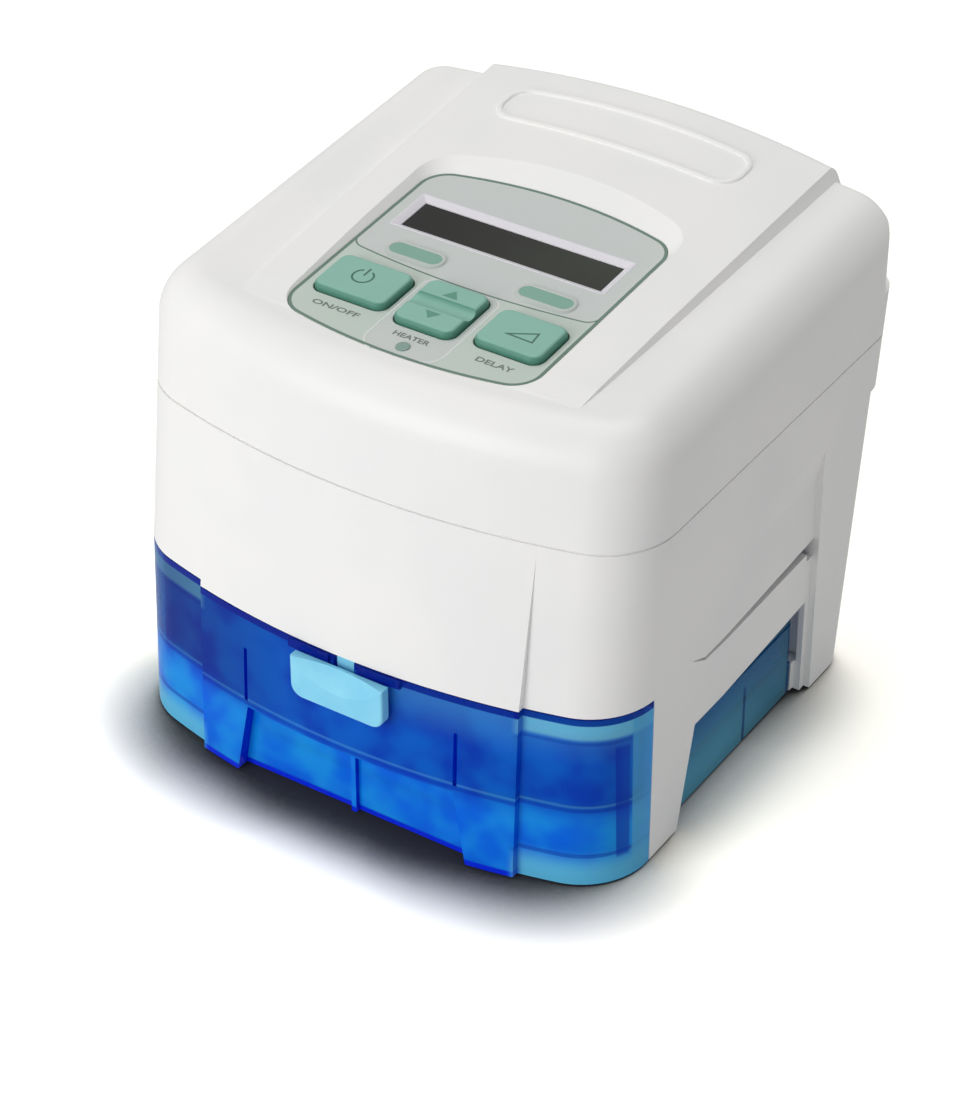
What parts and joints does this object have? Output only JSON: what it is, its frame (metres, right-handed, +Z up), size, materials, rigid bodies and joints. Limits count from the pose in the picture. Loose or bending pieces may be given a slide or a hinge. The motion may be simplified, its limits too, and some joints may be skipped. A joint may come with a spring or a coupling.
{
  "type": "cpap machine",
  "caption": "Bedside breathing-therapy machine: white moulded case with a sloping key panel and display, over a clear blue slide-out water tank.",
  "frame": {"origin": "middle of the footprint, on the table", "axes": "+X to the machine's right seen from the front, -Y to the front, +Z up"},
  "size_m": [0.165, 0.1756, 0.1537],
  "materials": {
    "white_shell": "satin moulded",
    "panel_film": "satin film",
    "key_green": "satin",
    "lamp_lens": "gloss",
    "lcd_pane": "gloss clear",
    "lcd_metal": "black anodised",
    "board": "satin",
    "steel": "brushed",
    "aluminium": "brushed",
    "clear_blue": "clear gloss",
    "latch_blue": "gloss",
    "seal": "matt",
    "grey_plastic": "satin",
    "motor": "satin",
    "foam": "open foam",
    "black_plastic": "satin"
  },
  "bodies": {
    "base": {"top_cover": "white_shell", "main_housing": "white_shell", "humidifier_cradle": "white_shell", "keypad_overlay": "panel_film", "indicator_lens": "lamp_lens", "lcd_window": "lcd_pane", "lcd_module": "lcd_metal", "keypad_board": "board", "main_board": "board", "power_supply_board": "board", "keypad_screws": "steel", "cover_screws": "steel", "heater_springs": "steel", "inlet_pins": "steel", "heater_plate": "aluminium", "port_seals": "seal", "blower_grommets": "seal", "air_duct": "seal", "front_feet": "seal", "rear_feet": "seal", "blower_base": "grey_plastic", "blower_cover": "grey_plastic", "hose_port": "grey_plastic", "board_standoffs": "grey_plastic", "blower_motor": "motor", "air_filter": "foam", "power_inlet": "black_plastic"},
    "tank": {"tank_tub": "clear_blue", "tank_lid": "clear_blue", "tank_seal": "seal", "tank_heat_plate": "steel", "latch_spring": "steel"},
    "latch": {"tank_latch": "latch_blue"},
    "power_key": {"power_button": "key_green"},
    "ramp_key": {"ramp_button": "key_green"},
    "rocker": {"heater_rocker": "key_green"},
    "left_key": {"soft_key_left": "key_green"},
    "right_key": {"soft_key_right": "key_green"},
    "fan": {"impeller": "grey_plastic", "motor_shaft": "steel"},
    "filter_door": {"filter_cover": "white_shell"}
  },
  "joints": [
    {"name": "tank_slide", "type": "slide", "parent": "base", "child": "tank", "axis": [0, -1, 0], "range_m": [0, 0.125]},
    {"name": "latch_press", "type": "slide", "parent": "tank", "child": "latch", "axis": [0, 0, -1], "range_m": [0, 0.003], "stiffness_N_per_m": 800, "springref_m": -0.001, "deforming": ["latch_spring"]},
    {"name": "power_press", "type": "slide", "parent": "base", "child": "power_key", "axis": [0, 0.0599, -0.9982], "range_m": [0, 0.0008], "stiffness_N_per_m": 1500, "springref_m": -0.0005},
    {"name": "ramp_press", "type": "slide", "parent": "base", "child": "ramp_key", "axis": [0, 0.0599, -0.9982], "range_m": [0, 0.0008], "stiffness_N_per_m": 1500, "springref_m": -0.0005},
    {"name": "left_press", "type": "slide", "parent": "base", "child": "left_key", "axis": [0, 0.0599, -0.9982], "range_m": [0, 0.0006], "stiffness_N_per_m": 1500, "springref_m": -0.0005},
    {"name": "right_press", "type": "slide", "parent": "base", "child": "right_key", "axis": [0, 0.0599, -0.9982], "range_m": [0, 0.0006], "stiffness_N_per_m": 1500, "springref_m": -0.0005},
    {"name": "rocker_tilt", "type": "hinge", "parent": "base", "child": "rocker", "pos_m": [0.001, -0.03229, 0.13624], "axis": [1, 0, 0], "range_deg": [-4, 4], "stiffness_Nm_per_rad": 0.2},
    {"name": "fan_spin", "type": "hinge", "parent": "base", "child": "fan", "pos_m": [0, -0.008, 0.07], "axis": [0, 0, 1], "continuous": true},
    {"name": "filter_pull", "type": "slide", "parent": "base", "child": "filter_door", "axis": [0, 1, 0], "range_m": [0, 0.03]}
  ]
}
